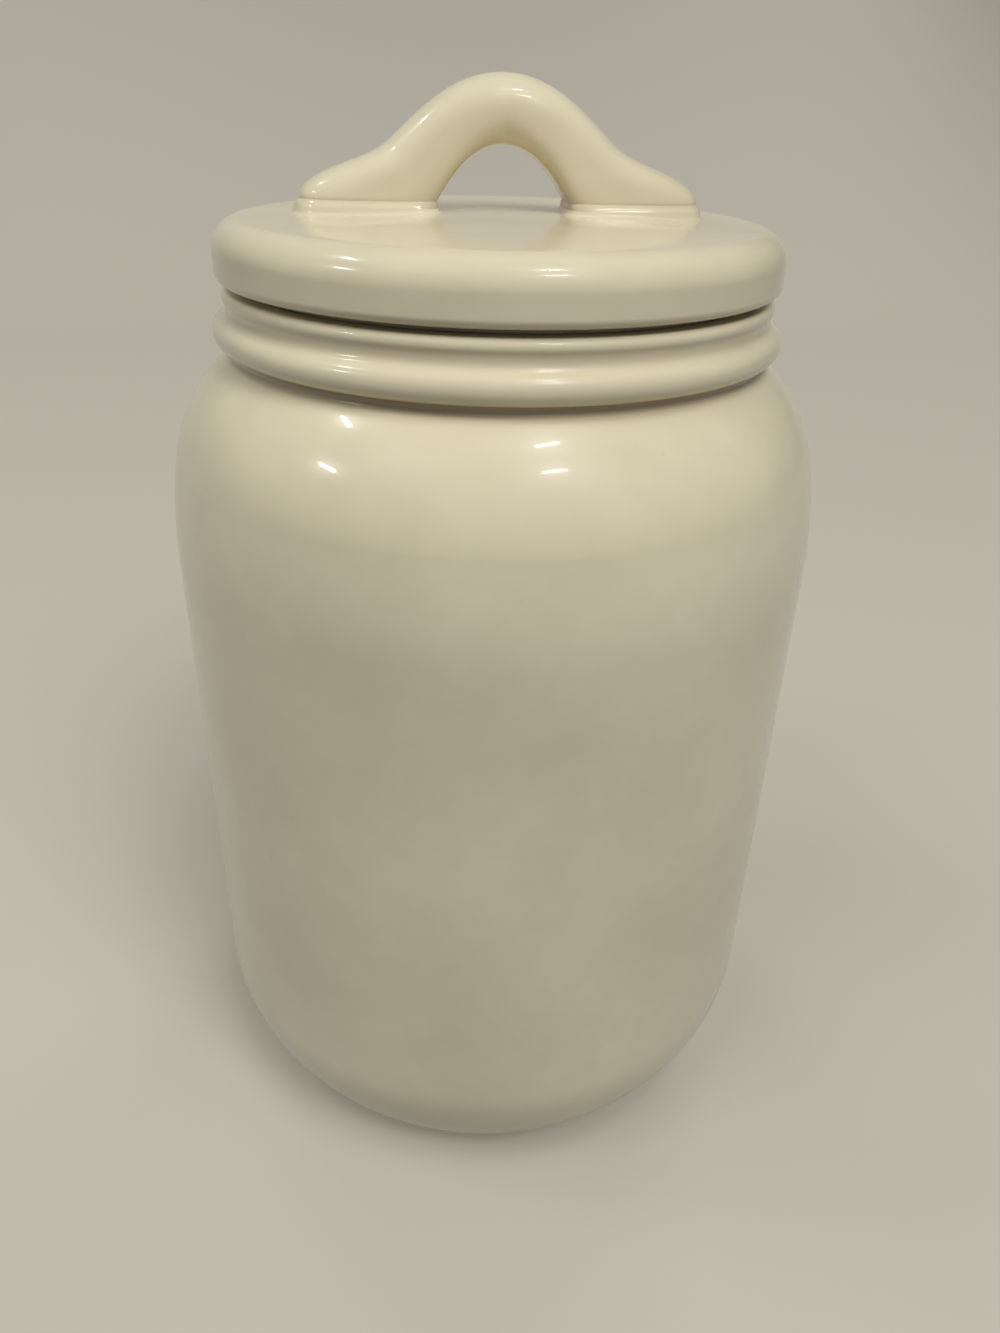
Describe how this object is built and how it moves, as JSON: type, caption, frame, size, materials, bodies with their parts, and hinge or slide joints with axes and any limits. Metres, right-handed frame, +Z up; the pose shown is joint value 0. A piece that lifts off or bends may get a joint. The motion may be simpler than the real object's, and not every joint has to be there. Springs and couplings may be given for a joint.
{
  "type": "tea canister",
  "caption": "Round glazed ceramic tea canister with a ringed neck and a lift-off lid, which has an arched handle on top and a plug with a soft seal underneath.",
  "frame": {"origin": "centre of the foot ring, on the surface that the jar stands on", "axes": "+Z up along the jar's axis, +X along the handle's length, +Y across the handle"},
  "size_m": [0.12, 0.12, 0.2003],
  "materials": {
    "cream_glaze": "glossy cream glaze",
    "seal_silicone": "satin translucent silicone"
  },
  "bodies": {
    "jar": {"jar": "cream_glaze"},
    "seal": {"seal_ring": "seal_silicone"},
    "lid": {"lid": "cream_glaze", "handle": "cream_glaze"}
  },
  "joints": [
    {"name": "lid_lift", "type": "slide", "parent": "jar", "child": "seal", "axis": [0, 0, 1], "range_m": [0, 0.06]},
    {"name": "lid_turn", "type": "hinge", "parent": "seal", "child": "lid", "pos_m": [0, 0, 0.1694], "axis": [0, 0, 1], "continuous": true}
  ]
}
